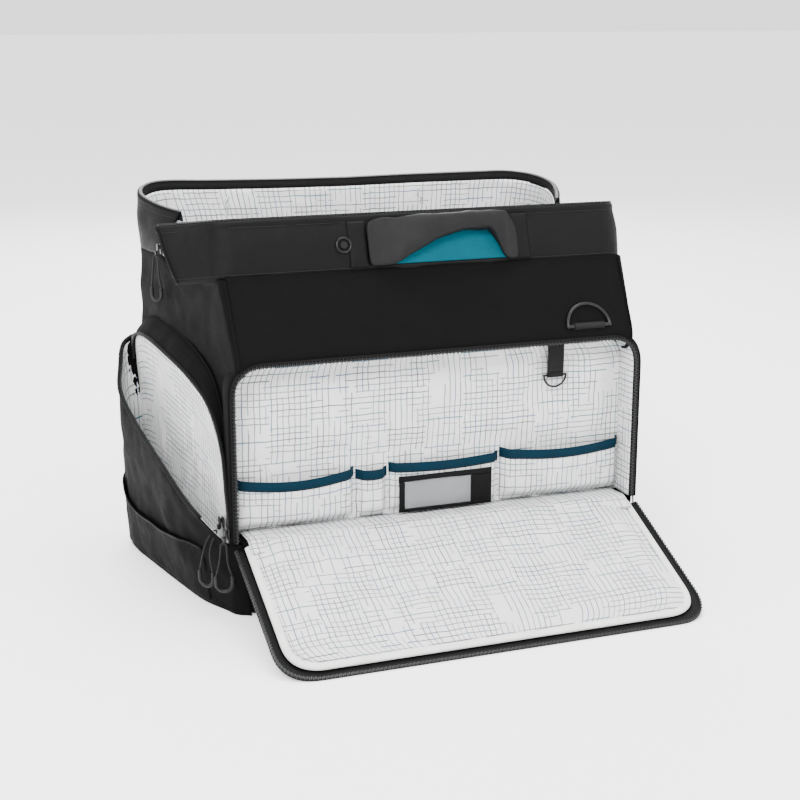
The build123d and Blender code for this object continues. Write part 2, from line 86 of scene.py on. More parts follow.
area_light("key", (-1.6, -2.2, 2.4), (0, -0.05, 0.2), (1.2, 1.2), 170)
area_light("fill", (2.4, -1.8, 1.5), (0, -0.05, 0.2), (1.8, 1.4), 60)
area_light("top", (0.1, 0.3, 2.8), (0, 0, 0.2), (2.0, 1.6), 110)
area_light("rear", (0.6, 2.6, 1.7), (0, 0, 0.2), (1.8, 1.2), 70)
world = bpy.data.worlds.new("studio")
world.use_nodes = True
world.node_tree.nodes["Background"].inputs["Color"].default_value = (1, 1, 1, 1)
world.node_tree.nodes["Background"].inputs["Strength"].default_value = 1.8
scene.world = world

# ---------------------------------------------------------------- materials


class Graph:
    """A material's node tree, with short ways to add and join nodes."""

    def __init__(self, name, colour, rough, **sockets):
        self.material = bpy.data.materials.new(name)
        self.material.use_nodes = True
        self.tree = self.material.node_tree
        self.shader = self.tree.nodes["Principled BSDF"]
        self.shader.inputs["Base Color"].default_value = (*colour, 1)
        self.shader.inputs["Roughness"].default_value = rough
        for key, value in sockets.items():
            self.shader.inputs[key.replace("_", " ")].default_value = value

    def add(self, kind, inputs, output=0, **settings):
        made = self.tree.nodes.new(kind)
        for key, value in settings.items():
            setattr(made, key, value)
        for key, value in inputs.items():
            if isinstance(value, bpy.types.NodeSocket):
                self.tree.links.new(value, made.inputs[key])
            else:
                made.inputs[key].default_value = value
        return made.outputs[output]

    def math(self, operation, a, b=0.0, clamp=False):
        return self.add("ShaderNodeMath", {0: a, 1: b}, operation=operation, use_clamp=clamp)

    def coordinates(self, kind):
        return self.tree.nodes.new("ShaderNodeTexCoord").outputs[kind]

    def mix(self, factor, a, b):
        inputs = {0: factor, 6: a, 7: b}
        return self.add("ShaderNodeMix", inputs, output=2, data_type="RGBA")

    def noise(self, vector, scale, detail=2.0):
        return self.add("ShaderNodeTexNoise", {"Vector": vector, "Scale": scale, "Detail": detail})

    def bump(self, height, distance, strength=1.0, normal=None):
        inputs = {"Height": height, "Distance": distance, "Strength": strength}
        if normal is not None:
            inputs["Normal"] = normal
        return self.add("ShaderNodeBump", inputs)

    def ramp(self, value, low, high, to_low, to_high):
        inputs = {0: value, 1: low, 2: high, 3: to_low, 4: to_high}
        return self.add("ShaderNodeMapRange", inputs)

    def set(self, socket, value):
        self.tree.links.new(value, self.shader.inputs[socket])


def shade(colour, factor):
    return (*[c * factor for c in colour], 1)


def finish_surface(g, colour, rough, vector, weave, weave_depth, spread, crease):
    """Colour variation, roughness variation, a weave and soft creases on one material."""
    mottle = g.noise(vector, 34, 4)
    fine = g.noise(vector, 420, 2)
    tone = g.math("ADD", g.math("MULTIPLY", mottle, 0.65), g.math("MULTIPLY", fine, 0.35))
    tone = g.ramp(tone, 0.35, 0.65, 0.0, 1.0)
    g.set("Base Color", g.mix(tone, shade(colour, 1 - spread), shade(colour, 1 + spread)))
    g.set("Roughness", g.ramp(mottle, 0.3, 0.7, rough - 0.06, rough + 0.06))
    creases = g.bump(g.noise(vector, 26, 3), crease * MM)
    g.set("Normal", g.bump(weave, weave_depth * MM, normal=creases))


def woven(name, colour, rough, pitch=0.9, depth=0.12, spread=0.12, crease=1.2, space="UV", **sockets):
    """Cloth with over and under threads, pitch and depth in millimetres."""
    g = Graph(name, colour, rough, **sockets)
    vector = g.coordinates(space)
    parts = g.tree.nodes.new("ShaderNodeSeparateXYZ")
    g.tree.links.new(vector, parts.inputs[0])
    turn = 2 * math.pi / (pitch * MM)
    waves = [g.math("SINE", g.math("MULTIPLY", parts.outputs[i], turn)) for i in range(3)]
    cloth = g.math("MULTIPLY", waves[0], waves[1] if space == "UV" else waves[2])
    finish_surface(g, colour, rough, vector, cloth, depth, spread, crease)
    return g.material


def grained(name, colour, rough, grain=900, depth=0.05, spread=0.1, crease=0.3, **sockets):
    """A coated, moulded or metal surface with a fine grain and worn, slightly paler patches."""
    g = Graph(name, colour, rough, **sockets)
    vector = g.coordinates("Object")
    finish_surface(g, colour, rough, vector, g.noise(vector, grain, 2), depth, spread, crease)
    return g.material


def patterned_lining():
    """Off-white lining with fine coloured threads, upright only or crossed, in patches."""
    g = Graph("lining", (0.78, 0.79, 0.78), 0.62)
    vector = g.coordinates("UV")
    parts = g.tree.nodes.new("ShaderNodeSeparateXYZ")
    g.tree.links.new(vector, parts.inputs[0])
    ink = None
    paint = None
    for axis, other, pitch, patch, reach in ((0, 1, 6.6, 0.20, 38), (1, 0, 6.8, 0.30, 46)):
        along = g.math("DIVIDE", parts.outputs[axis], pitch * MM)
        wobble = g.noise(vector, 60, 1)
        along = g.math("ADD", along, g.math("MULTIPLY", wobble, 0.35))
        line = g.math("FLOOR", along)
        off = g.math("ABSOLUTE", g.math("SUBTRACT", g.math("FRACT", along), 0.5))
        stripe = g.ramp(off, 0.06, 0.12, 1.0, 0.0)
        cell = g.add(
            "ShaderNodeCombineXYZ",
            {
                0: line,
                1: g.math("FLOOR", g.math("DIVIDE", parts.outputs[other], reach * MM)),
                2: float(axis),
            },
        )
        chance = g.add("ShaderNodeTexWhiteNoise", {0: cell}, noise_dimensions="3D")
        patches = g.noise(vector, 17 + 4 * axis, 0)
        shown = g.math("GREATER_THAN", g.math("ADD", g.math("MULTIPLY", chance, 0.55), patches),
                       patch + 0.36)
        stripe = g.math("MULTIPLY", stripe, shown)
        stripe = g.math("MULTIPLY", stripe, g.ramp(chance, 0, 1, 0.65, 1.0))
        colours = g.add("ShaderNodeValToRGB", {0: g.math("FRACT", g.math("MULTIPLY", chance, 7.0))})
        table = colours.node.color_ramp
        table.interpolation = "CONSTANT"
        table.elements[0].color = (0.035, 0.040, 0.045, 1)
        table.elements[1].color = (0.01, 0.10, 0.15, 1)
        table.elements[1].position = 0.8
        for place, tint in ((0.35, (0.12, 0.125, 0.13, 1)), (0.7, (0.03, 0.06, 0.18, 1))):
            table.elements.new(place).color = tint
        paint = colours if paint is None else g.mix(stripe, paint, colours)
        ink = stripe if ink is None else g.math("MAXIMUM", ink, stripe)
    cloth = g.mix(g.noise(vector, 30, 3), (0.56, 0.57, 0.565, 1), (0.70, 0.70, 0.69, 1))
    g.set("Base Color", g.mix(ink, cloth, paint))
    g.set("Roughness", g.ramp(g.noise(vector, 40, 2), 0.3, 0.7, 0.56, 0.7))
    creases = g.bump(g.noise(vector, 20, 3), 5.0 * MM)
    turn = 2 * math.pi / (0.8 * MM)
    threads = [g.math("SINE", g.math("MULTIPLY", parts.outputs[i], turn)) for i in range(2)]
    g.set("Normal", g.bump(g.math("MULTIPLY", *threads), 0.06 * MM, normal=creases))
    return g.material


SHELL = (0.0020, 0.0018, 0.0020)
BAND = (0.0024, 0.0024, 0.0027)
MATERIALS = {
    "shell": woven("shell", SHELL, 0.70, pitch=1.1, depth=0.10, crease=1.6, Specular_IOR_Level=0.05),
    "band": woven("band", BAND, 0.52, pitch=0.7, depth=0.04, crease=1.2, Specular_IOR_Level=0.08),
    "padding": woven("padding", (0.0044, 0.0044, 0.0048), 0.5, pitch=0.8, depth=0.05, crease=1.4,
                     Specular_IOR_Level=0.14),
    "lining": patterned_lining(),
    "teal": woven("teal", (0.0005, 0.013, 0.025), 0.65, pitch=0.8, depth=0.07, crease=0.3,
                  Specular_IOR_Level=0.08),
    "cyan": woven("cyan", (0.0, 0.060, 0.085), 0.7, pitch=0.8, depth=0.07, crease=0.6,
                  Specular_IOR_Level=0.06),
    "webbing": woven("webbing", (0.005, 0.005, 0.0055), 0.6, pitch=1.6, depth=0.25, crease=0.1,
                     Specular_IOR_Level=0.15),
    "piping": woven("piping", (0.70, 0.70, 0.68), 0.62, pitch=0.8, depth=0.07, crease=0.5),
    "zip": woven("zip", (0.0032, 0.0032, 0.0034), 0.62, pitch=0.9, depth=0.12, crease=0.1,
                 Specular_IOR_Level=0.12),
    "webbing_cad": woven("webbing_cad", (0.005, 0.005, 0.0055), 0.6, 1.4, 0.2, crease=0.1, space="Object",
                         Specular_IOR_Level=0.15),
    "teeth": grained("teeth", (0.008, 0.008, 0.0085), 0.38, grain=1500, depth=0.02, Specular_IOR_Level=0.4),
    "pale_teeth": grained("pale_teeth", (0.11, 0.11, 0.115), 0.4, grain=1500, depth=0.02,
                          Specular_IOR_Level=0.4),
    "metal": grained("metal", (0.008, 0.008, 0.0085), 0.34, grain=1200, spread=0.25, depth=0.02,
                     Metallic=0.6),
    "steel": grained("steel", (0.42, 0.42, 0.43), 0.36, grain=700, spread=0.15, depth=0.02, Metallic=1.0),
    "board": grained("board", (0.05, 0.05, 0.05), 0.75, grain=500, depth=0.1),
    "cord": grained("cord", (0.004, 0.004, 0.0045), 0.6, grain=2400, depth=0.15, Specular_IOR_Level=0.25),
    "grip": grained("grip", (0.006, 0.006, 0.0065), 0.45, grain=1600, depth=0.04, Specular_IOR_Level=0.2),
    "thread": grained("thread", (0.012, 0.012, 0.013), 0.5, grain=3000, depth=0.03, Specular_IOR_Level=0.2),
    "vinyl": grained("vinyl", (0.30, 0.31, 0.32), 0.16, grain=60, depth=0.2, spread=0.08, Alpha=0.34),
}

# ---------------------------------------------------------------- shapes


def smooth(value, low=0.0, high=1.0):
    t = min(max((value - low) / (high - low), 0.0), 1.0)
    return t * t * (3 - 2 * t)


def lerp(a, b, t):
    return a + (b - a) * t


def mixed(p, q, t):
    return tuple(lerp(a, b, t) for a, b in zip(p, q))


def half_width(y):
    return 238 + (y - FRONT_Y) * 40 / (REAR_Y - FRONT_Y)


def resample(points, count):
    """count + 1 points at equal spacing along a line of points."""
    points = [Vector(p) for p in points]
    reach = [0.0]
    for p, q in zip(points, points[1:]):
        reach.append(reach[-1] + (q - p).length)
    out, k = [], 0
    for i in range(count + 1):
        want = reach[-1] * i / count
        while k < len(points) - 2 and reach[k + 1] < want:
            k += 1
        span = reach[k + 1] - reach[k]
        out.append(points[k].lerp(points[k + 1], (want - reach[k]) / span if span else 0))
    return out


def rounded(points, radii, steps=9):
    """A line through points whose inner corners are rounded, closed or open."""
    points = [Vector(p) for p in points]
    out = [points[0]]
    for before, corner, after, radius in zip(points, points[1:], points[2:], radii):
        a = corner + (before - corner).normalized() * radius
        b = corner + (after - corner).normalized() * radius
        for i in range(steps + 1):
            t = i / steps
            out.append(a.lerp(corner, t).lerp(corner.lerp(b, t), t))
    out.append(points[-1])
    return out


def curved(points, steps=8):
    """A smooth line through all the points."""
    p = [Vector(q) for q in points]
    p = [p[0] * 2 - p[1]] + p + [p[-1] * 2 - p[-2]]
    out = []
    for a, b, c, d in zip(p, p[1:], p[2:], p[3:]):
        for i in range(steps):
            t = i / steps
            out.append(
                0.5 * (2 * b + (c - a) * t + (2 * a - 5 * b + 4 * c - d) * t**2
                       + (3 * b - a - 3 * c + d) * t**3)
            )
    return out + [p[-2]]


def place(obj, body, slot, material, replaced=()):
    obj.data.materials.append(MATERIALS[material])
    if isinstance(body, str):
        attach(obj, body)
    elif body:
        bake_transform(obj)
    if replaced:
        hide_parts(*replaced)
    return obj


def new_mesh(name, points, faces, uvs=None, flat=False):
    mesh = bpy.data.meshes.new(name)
    mesh.from_pydata([Vector(p) * MM for p in points], [], faces)
    if uvs:
        layer = mesh.uv_layers.new(name="metres")
        for loop in mesh.loops:
            layer.data[loop.index].uv = uvs[loop.vertex_index]
    if not flat:
        mesh.shade_smooth()
    mesh.update()
    obj = bpy.data.objects.new(name, mesh)
    scene.collection.objects.link(obj)
    return obj


def loft(name, rows, material, body="bag", slot=None, thick=0.0, closed=False, crease=None, flip=False,
         replaced=(), cap=False, edge=0.06, calm=None):
    """A surface through rows of equally many points. Its slot argument is not used.

    crease is (height, size) of its soft waves in mm, and calm(p) says how much of them a place has.
    """
    nu, nv = len(rows[0]), len(rows)
    points = [[Vector(p) for p in row] for row in rows]
    across = [0.0]
    middle = points[nv // 2]
    for p, q in zip(middle, middle[1:]):
        across.append(across[-1] + (q - p).length)
    along = [0.0]
    for j in range(nv - 1):
        along.append(along[-1] + (points[j + 1][nu // 2] - points[j][nu // 2]).length)
    if crease:
        height, size = crease
        moved = []
        for j in range(nv):
            row = []
            for i in range(nu):
                left = points[j][(i - 1) % nu if closed else max(i - 1, 0)]
                right = points[j][(i + 1) % nu if closed else min(i + 1, nu - 1)]
                down, up = points[max(j - 1, 0)][i], points[min(j + 1, nv - 1)][i]
                normal = (right - left).cross(up - down)
                if normal.length < 1e-9:
                    row.append(points[j][i])
                    continue
                fade = smooth(min(j, nv - 1 - j) / (nv - 1) / edge)
                if not closed:
                    fade *= smooth(min(i, nu - 1 - i) / (nu - 1) / edge)
                p = points[j][i]
                fade *= calm(p) if calm else 1
                wave = noise.noise(p / size) + 0.45 * noise.noise(p / (size * 0.41) + Vector((7, 3, 5)))
                row.append(p + normal.normalized() * wave * height * fade)
            moved.append(row)
        points = moved
    flat_points = [p for row in points for p in row]
    faces = []
    for j in range(nv - 1):
        for i in range(nu if closed else nu - 1):
            a, b = j * nu + i, j * nu + (i + 1) % nu
            face = (a, b, b + nu, a + nu)
            faces.append(face[::-1] if flip else face)
    if cap:
        loop = tuple(range(nu))
        faces.append(loop if flip else loop[::-1])
    uvs = [(across[i] * MM, along[j] * MM) for j in range(nv) for i in range(nu)]
    obj = new_mesh(name, flat_points, faces, uvs)
    if thick:
        shell = obj.modifiers.new("thickness", "SOLIDIFY")
        shell.thickness = thick * MM
        shell.offset = -1
    return place(obj, body, slot or material, material, replaced)


def grid(name, point, nu, nv, material, **settings):
    rows = [[point(i / nu, j / nv) for i in range(nu + 1)] for j in range(nv + 1)]
    return loft(name, rows, material, **settings)


def tube(name, path, radius, material, body="bag", slot=None, sides=8, squeeze=1.0, up=(0, 0, 1)):
    """A closed round or flattened tube along a path."""
    path = [Vector(p) for p in path]
    rows = []
    for i, p in enumerate(path):
        way = (path[min(i + 1, len(path) - 1)] - path[max(i - 1, 0)]).normalized()
        side = way.cross(Vector(up)).normalized()
        rise = side.cross(way)
        row = []
        for k in range(sides):
            a = 2 * math.pi * k / sides
            row.append(p + side * radius * math.cos(a) + rise * radius * squeeze * math.sin(a))
        rows.append(row)
    points = [p for row in rows for p in row]
    faces = []
    for j in range(len(rows) - 1):
        for k in range(sides):
            a, b = j * sides + k, j * sides + (k + 1) % sides
            faces.append((a, b, b + sides, a + sides))
    last = (len(rows) - 1) * sides
    faces += [tuple(range(sides))[::-1], tuple(last + k for k in range(sides))]
    uvs = [(k / sides * 2 * math.pi * radius * MM, j * (path[1] - path[0]).length * MM)
           for j in range(len(rows)) for k in range(sides)]
    return place(new_mesh(name, points, faces, uvs), body, slot or material, material)


def bits(name, path, out, pitch, size, material="teeth", body="bag", slot="zip", stagger=0.0):
    """Zip teeth or stitches: small blocks along a path, size as (along, across, out)."""
    path = [Vector(p) for p in path]
    length = sum((q - p).length for p, q in zip(path, path[1:]))
    spots = resample(path, max(2, int(length / pitch)))
    points, faces = [], []
    for i, p in enumerate(spots[:-1]):
        way = (spots[i + 1] - p).normalized()
        normal = Vector(out(p) if callable(out) else out).normalized()
        side = way.cross(normal).normalized()
        middle = (p + spots[i + 1]) / 2 + side * (stagger if i % 2 else -stagger)
        start = len(points)
        for w in (-0.5, 0.5):
            for s in (-0.5, 0.5):
                for n in (0.0, 1.0):
                    narrow = 0.78 if n else 1.0
                    points.append(middle + way * w * size[0] * narrow + side * s * size[1] * narrow
                                  + normal * n * size[2])
        for face in ((0, 1, 3, 2), (4, 6, 7, 5), (0, 4, 5, 1), (2, 3, 7, 6), (1, 5, 7, 3), (0, 2, 6, 4)):
            faces.append(tuple(start + k for k in face))
    return place(new_mesh(name, points, faces, flat=True), body, slot, material)


def stitches(name, path, out, body="bag", slot="shell"):
    return bits(name, path, out, 3.4, (2.3, 0.55, 0.4), material="thread", body=body, slot=slot)


# ---------------------------------------------------------------- body


def shoulder_y(z):
    """The front of the body above the ring: the shoulder's slope."""
    return FRONT_Y + (FOLD_Y - FRONT_Y) * min(max((z - RING_TOP) / (FOLD_Z - RING_TOP), 0), 1)


def mirrored(points):
    """A left-hand line from the front to the middle of the rear, and on round the right."""
    return points + [Vector((-p[0], *p[1:])) for p in reversed(points[:-1])]


def outline(z, front, inset=0.0, front_round=18.0, rear_round=38.0):
    """A closed line round the plan, from the middle of the front."""
    a, b = half_width(front) - inset, half_width(REAR_Y) - inset
    f, r = front + inset, REAR_Y - inset
    half = rounded([(0, f, z), (-a, f, z), (-b, r, z), (0, r, z)], (front_round, rear_round))
    return mirrored(half)


levels = [(0, 120), (0, 40), (0, 9)] + [(9 - 9 * math.cos(a), 9 - 9 * math.sin(a)) for a in (0.4, 0.8, 1.2)]
levels += [(9, 0)] + [(z, -1.6 * math.sin(math.pi * (z - 9) / 84)) for z in (20, 32, 44, 56, 68, 78, 86)]
lower = [resample(outline(z, FRONT_Y, inset), 220)[:-1] for z, inset in levels]
loft("body_lower", lower, "shell", thick=2.5, closed=True, cap=True, crease=(1.0, 80), flip=True,
     calm=lambda p: smooth(p.z, 8, 30),
     replaced=("base_tray", "front_apron"))


def side_sag(y):
    return 16 * smooth(y, -80, -30) * (1 - smooth(y, 20, 66))


def wall_bulge(y, z):
    """How far the side walls belly out, as a factor of their half width."""
    return 1 + 0.012 * math.sin(math.pi * max(z - 86, 0) / 283) * smooth(y, -100, 20)


def upper_row(z):
    corner_shown = smooth(z, 262, 268)
    front = lerp(INNER_Y, shoulder_y(z) + 0.6, corner_shown)
    a, b = half_width(front), half_width(REAR_Y)
    roll = lerp(1.0, 6.0, corner_shown)
    lead = lerp(2.0, 9.0, corner_shown)
    half = rounded([(-a + lead, front, z), (-a, front, z), (-b, REAR_Y, z), (0, REAR_Y, z)], (roll, 38))
    row = resample(mirrored(half), 200)
    for p in row:
        p.z -= side_sag(p.y) * smooth(z, 285, 369) if abs(p.x) > 225 else 0
        p.x *= wall_bulge(p.y, z)
    return row


def wall_calm(p):
    """Flat behind the side pockets and at the front corners, soft elsewhere."""
    in_pocket = smooth(150 - p.y, -12, 4) * (1 - smooth(p.z, 262, 296)) if abs(p.x) > 225 else 0
    return (1 - in_pocket) * smooth(p.y - shoulder_y(p.z), 2, 30)


loft("body_upper", [upper_row(86 + 283 * j / 44) for j in range(45)], "shell", thick=3.0,
     crease=(3.2, 62), edge=0.05, calm=wall_calm, flip=True,
     replaced=("left_wall", "right_wall", "rear_wall"))


def ring_edge(x):
    """The height of the ring's outer edge at x."""
    over = max(abs(x) - (RING_HALF - RING_ROUND), 0)
    return RING_TOP - RING_ROUND + math.sqrt(max(RING_ROUND**2 - over**2, 0))


def shoulder_point(u, v):
    x = lerp(-236, 236, u)
    z = lerp(ring_edge(x) - 1, FOLD_Z + 3, v)
    bulge = 3.0 * math.sin(math.pi * v) * smooth(min(u, 1 - u) / 0.08)
    return (x, shoulder_y(z) - bulge - (0.6 if z > 288 else 0), z)


grid("front_shoulder_sheet", shoulder_point, 110, 20, "shell", thick=2.0, crease=(1.3, 70),
     replaced=("front_shoulder", "front_wall"), edge=0.16)
for side, tag in ((-1, "left"), (1, "right")):
    seam = curved([(side * (234.5 + 0.6 * i), shoulder_y(z) - 0.2, z) for i, z in
                   enumerate((281, 294, 312, 332, 352, 368))])
    tube(f"{tag}_corner_seam", seam, 1.5, "shell")

# ---------------------------------------------------------------- main lining


def lining_row(v):
    row = []
    for p in resample(outline(0, FOLD_Y + 1, 7.5, 14, 32), 240)[:-1]:
        top = 366 - side_sag(p.y) - 5 * (1 - smooth(p.y, 40, 70)) if abs(p.x) > 200 else 366
        row.append(Vector((p.x, p.y, lerp(9, top, v))))
    return row


floor_rows = [[Vector((p.x * k, p.y * k, 8.5)) for p in lining_row(0)] for k in (0.1, 0.5, 0.9)]
loft("main_lining_tub", floor_rows + [lining_row(j / 30) for j in range(31)], "lining",
     closed=True, cap=True, flip=True, crease=(2.6, 42), edge=0.03, replaced=("main_lining",))

# ---------------------------------------------------------------- rear band

# The rim from the left arm's end to the middle of the rear. It is fuller than the body at the corner.
RIM = [(-246, 43, 421), (-262, 64, 425), (-276, 90, 431), (-281, 112, 437), (-274, 135, 442),
       (-256, 155, 445),
       (-228, 166, 445), (-180, 169, 443), (-90, 169, 441), (0, 169, 440)]
BAND_FOOT = rounded([(-half_width(78), 78, FOLD_Z - 1), (-half_width(REAR_Y), REAR_Y, FOLD_Z - 1),
                     (0, REAR_Y, FOLD_Z - 1)], (38,))
FOOT_ROW = resample(mirrored(BAND_FOOT), 150)
RIM_RIGHT = [(246, 43, 417), (256, 64, 422), (264, 90, 428), (266, 112, 432), (260, 135, 436),
             (246, 155, 439),
             (222, 166, 441), (180, 169, 441), (90, 169, 441), (0, 169, 440)]
RIM_ROW = resample(curved(RIM), 75) + resample(curved(RIM_RIGHT), 75)[-2::-1]


def band_row(v, inset=0.0, drop=0.0):
    """A line round the rear band at a share of its height, from the left arm to the right."""
    row = [p.lerp(q, v) for p, q in zip(FOOT_ROW, RIM_ROW)]
    moved = []
    for i, p in enumerate(row):
        way = row[min(i + 1, 150)] - row[max(i - 1, 0)]
        inward = Vector((way.y, -way.x, 0)).normalized()
        moved.append(p + inward * inset - Vector((0, 0, drop)))
    return moved


def puff(v):
    return 2.2 * math.sin(math.pi * v / 0.85) if v < 0.85 else 0


loft("rear_band_shell", [band_row(v / 16, -puff(v / 16)) for v in range(17)], "band",
     thick=4.0, crease=(1.8, 48), flip=True, replaced=("rear_mouth_band",))
loft("rear_band_lining", [band_row(v / 14, 6.6 + 2.0 * math.sin(math.pi * v / 13)) for v in range(-1, 13)],
     "lining", thick=0.6, crease=(2.6, 34), flip=True)
loft("rear_zip_tape", [band_row(1, 6.4, 11), band_row(1, 5.6, 5), band_row(1, 3.4, -0.5),
                       band_row(1, 0.5, -0.8)],
     "zip", thick=0.8, replaced=("rear_mouth_zip",))
bits("rear_zip_teeth", band_row(1, 4.0, -0.4), (0, 0, 1), 2.2, (1.3, 3.0, 1.6), material="pale_teeth",
     stagger=0.5)
stitches("rear_rim_stitches", band_row(0.86, -0.4), lambda p: (p.x * 0.4, p.y * 0.9, 0), slot="band")
loft("rear_stay_strip", [band_row(0.5, 1.0, 6), band_row(0.5, 1.0, -6)], "steel", thick=1.0,
     replaced=("rear_frame_stay",))
for x in (-160, 100):
    seam = [p for p in (min(band_row(v / 12, 7.4 + 2.4 * math.sin(math.pi * v / 13)),
                            key=lambda q: abs(q.x - x) + (q.y < 100) * 999)
                        for v in range(10))]
    tube(f"lining_seam_{'left' if x < 0 else 'right'}", seam, 1.3, "lining")

# ---------------------------------------------------------------- front band

BAND_UP = Vector((0, 20, 59.5)).normalized()
BAND_OUT = Vector((0, -59.5, 20)).normalized()
MOUTH_BLEND = ("bag", "front_mouth", (0, -130, 362), (0, -126, 380))


def on_band(x, up, out):
    return Vector((x, FOLD_Y, 370.5)) + BAND_UP * up + BAND_OUT * out


# Each wing's side, the foot and the top of its end, and its outward direction.
WINGS = ((-1, (-277, -77, 360), (-287, -21, 415.5), (-0.88, -0.42, 0.2)),
         (1, (262, -72, 360), (274, -19, 415.5), (0.94, -0.34, 0.1)))


def front_band_line(v, out=0.0, inset=0.0):
    """A line along the front band from the left wing's end to the right's. v 0 is the fold, v 1 the top."""
    halves = []
    for side, low, high, away in WINGS:
        corner = Vector(mixed((side * 240, -129, 370.5), (side * 240, -109, 430), v)) + BAND_OUT * out
        end = Vector(mixed(low, high, v)) + Vector(away) * out
        halves.append(rounded([end.lerp(corner, inset), corner, (0, corner.y, corner.z)], (20,)))
    return resample(halves[0] + halves[1][-2::-1], 190)


def pillow(v):
    if v > 0.87:
        return 0.4 + 1.2 * math.sin(math.pi * (v - 0.87) / 0.13)
    return 0.2 + 2.6 * math.sin(math.pi * v / 0.87) ** 0.7


band_rows = [front_band_line(v / 24, pillow(v / 24)) for v in range(25)]
tuck = [[p - BAND_OUT * d + Vector((0, 0, h)) for p in front_band_line(0, 0.2)]
        for d, h in ((4.5, -1.0), (1.5, -2.5))]
loft("front_band_shell", tuck + band_rows, "band", body=MOUTH_BLEND, thick=3.4, crease=(1.5, 46),
     replaced=("front_mouth_band",))
# Between the wings the lining reaches below the fold, and on them it stops above their lower edge.
lining_foot = [low.lerp(high, 1 - smooth(222 - abs(high.x), 0, 18)) for low, high in
               zip(front_band_line(-0.07, -5.4, 0.06), front_band_line(0.09, -5.4, 0.06))]
loft("front_band_lining", [lining_foot] + [front_band_line(v, -5.4, 0.06)
                                           for v in (0.12, 0.25, 0.5, 0.72, 0.86)], "lining",
     body="front_mouth", thick=0.6, flip=True)
loft("front_zip_tape", [front_band_line(v, o, 0.03)
                        for v, o in ((0.84, -6.0), (0.96, -5.8), (1.02, -4.8), (1.02, -0.2))],
     "zip", body="front_mouth", thick=0.8, replaced=("front_mouth_zip",))
bits("front_zip_teeth", front_band_line(1.015, -2.6), (0, 0.2, 1), 2.2, (1.3, 3.0, 1.6),
     material="pale_teeth",
     body="front_mouth", stagger=0.5)
stitches("front_band_stitches", front_band_line(0.87, 0.7), BAND_OUT, body="front_mouth", slot="band")
stitches("front_fold_stitches", [p + BAND_OUT * 0.6 for p in front_band_line(0.05, 1.2)], BAND_OUT,
         body="front_mouth", slot="band")
for end, tag in ((0, "left"), (-1, "right")):
    tube(f"{tag}_wing_edge", [row[end] for row in band_rows], 1.4, "band", body="front_mouth")


def cyan_point(u, v):
    return on_band(lerp(-55, 95, u), lerp(5, 43, v),
                   3.2 + 1.2 * math.sin(math.pi * v) * math.sin(math.pi * u))


grid("handle_cyan_panel", cyan_point, 50, 14, "cyan", body="front_mouth", thick=0.8, crease=(0.5, 26),
     replaced=("front_handle_lining",), flip=False)


def handle_piece(name, frame_point, body, replaced):
    """A padded grip: a long soft bar whose flared ends lie flat on the band."""
    columns = 72
    rows = []
    for i in range(columns + 1):
        s = lerp(-92, 88, i / columns)
        rise = math.sin(math.pi / 2 * min(max((s + 66) / 96, 0), 1)) ** 1.2
        low = 4 + 33 * rise * (1 - smooth(s, 50, 76))
        high = lerp(57, 59, (s + 92) / 180) - 5 * (1 - smooth(s, -92, -82)) - 16 * smooth(s, 76, 88)
        fat = lerp(3.0, 17.0, smooth(s, -86, -20) * (1 - smooth(s, 50, 82)))
        middle, half = (low + high) / 2, (high - low) / 2
        row = []
        for k in range(28):
            a = 2 * math.pi * k / 28
            c, n = math.cos(a), math.sin(a)
            power = 0.62
            up = middle + half * math.copysign(abs(c) ** power, c)
            out = 2.4 + fat / 2 + fat / 2 * math.copysign(abs(n) ** power, n)
            row.append(frame_point(s, up, out))
        rows.append(row)
    for p in (rows[0], rows[-1]):
        mean = sum(p, Vector()) / len(p)
        for k, q in enumerate(p):
            p[k] = q.lerp(mean, 0.25)
    obj = loft(name, rows, "padding", body=body, slot="band", closed=True, cap=True, crease=(1.7, 24),
               edge=0.04,
               replaced=replaced)
    mesh = obj.data
    last = len(mesh.vertices) - 28
    work = bmesh.new()
    work.from_mesh(mesh)
    work.verts.ensure_lookup_table()
    work.faces.new([work.verts[last + k] for k in range(28)])
    bmesh.ops.recalc_face_normals(work, faces=work.faces)
    work.to_mesh(mesh)
    work.free()
    mesh.shade_smooth()
    return obj


def rear_face(s, up, out):
    return Vector((-s, REAR_Y + out, FOLD_Z + up))


handle_piece("front_handle_pad", lambda s, up, out: on_band(20 + s, up, out + 1.0), "front_handle",
             ("front_handle",))
handle_piece("rear_handle_pad", lambda s, up, out: rear_face(s, up, out + 2.0), "rear_handle",
             ("rear_handle",))


def end_tab(name, left, right, point, body):
    def at(u, v):
        x, up = lerp(left, right, u), lerp(3, 55, v)
        lift = 1.2 * smooth(min(u, 1 - u) / 0.25) * smooth(min(v, 1 - v) / 0.15)
        return point(x, up, 2.6 + lift)

    grid(name, at, 10, 18, "band", body=body, thick=1.6, crease=(0.5, 20))


end_tab("front_handle_tab_left", -94, -72, on_band, "front_mouth")
end_tab("front_handle_tab_right", 104, 124, on_band, "front_mouth")
tube("snap_rim", [on_band(-100 + 8.2 * math.cos(a / 24 * 2 * math.pi),
                          29 + 8.2 * math.sin(a / 24 * 2 * math.pi), 3.0)
                         for a in range(25)], 1.3, "metal", body="front_mouth", up=(0, 1, 0.1))

# ---------------------------------------------------------------- front pocket


def arch(half, top, radius, y, low=HINGE_Z):
    return rounded([(-half, y, low), (-half, y, top), (half, y, top), (half, y, low)], (radius, radius),
                   steps=12)


def ring_line(inset, y, count=240):
    return resample(arch(RING_HALF - inset, RING_TOP - inset, max(RING_ROUND - inset, 4) * 1.0, y), count)


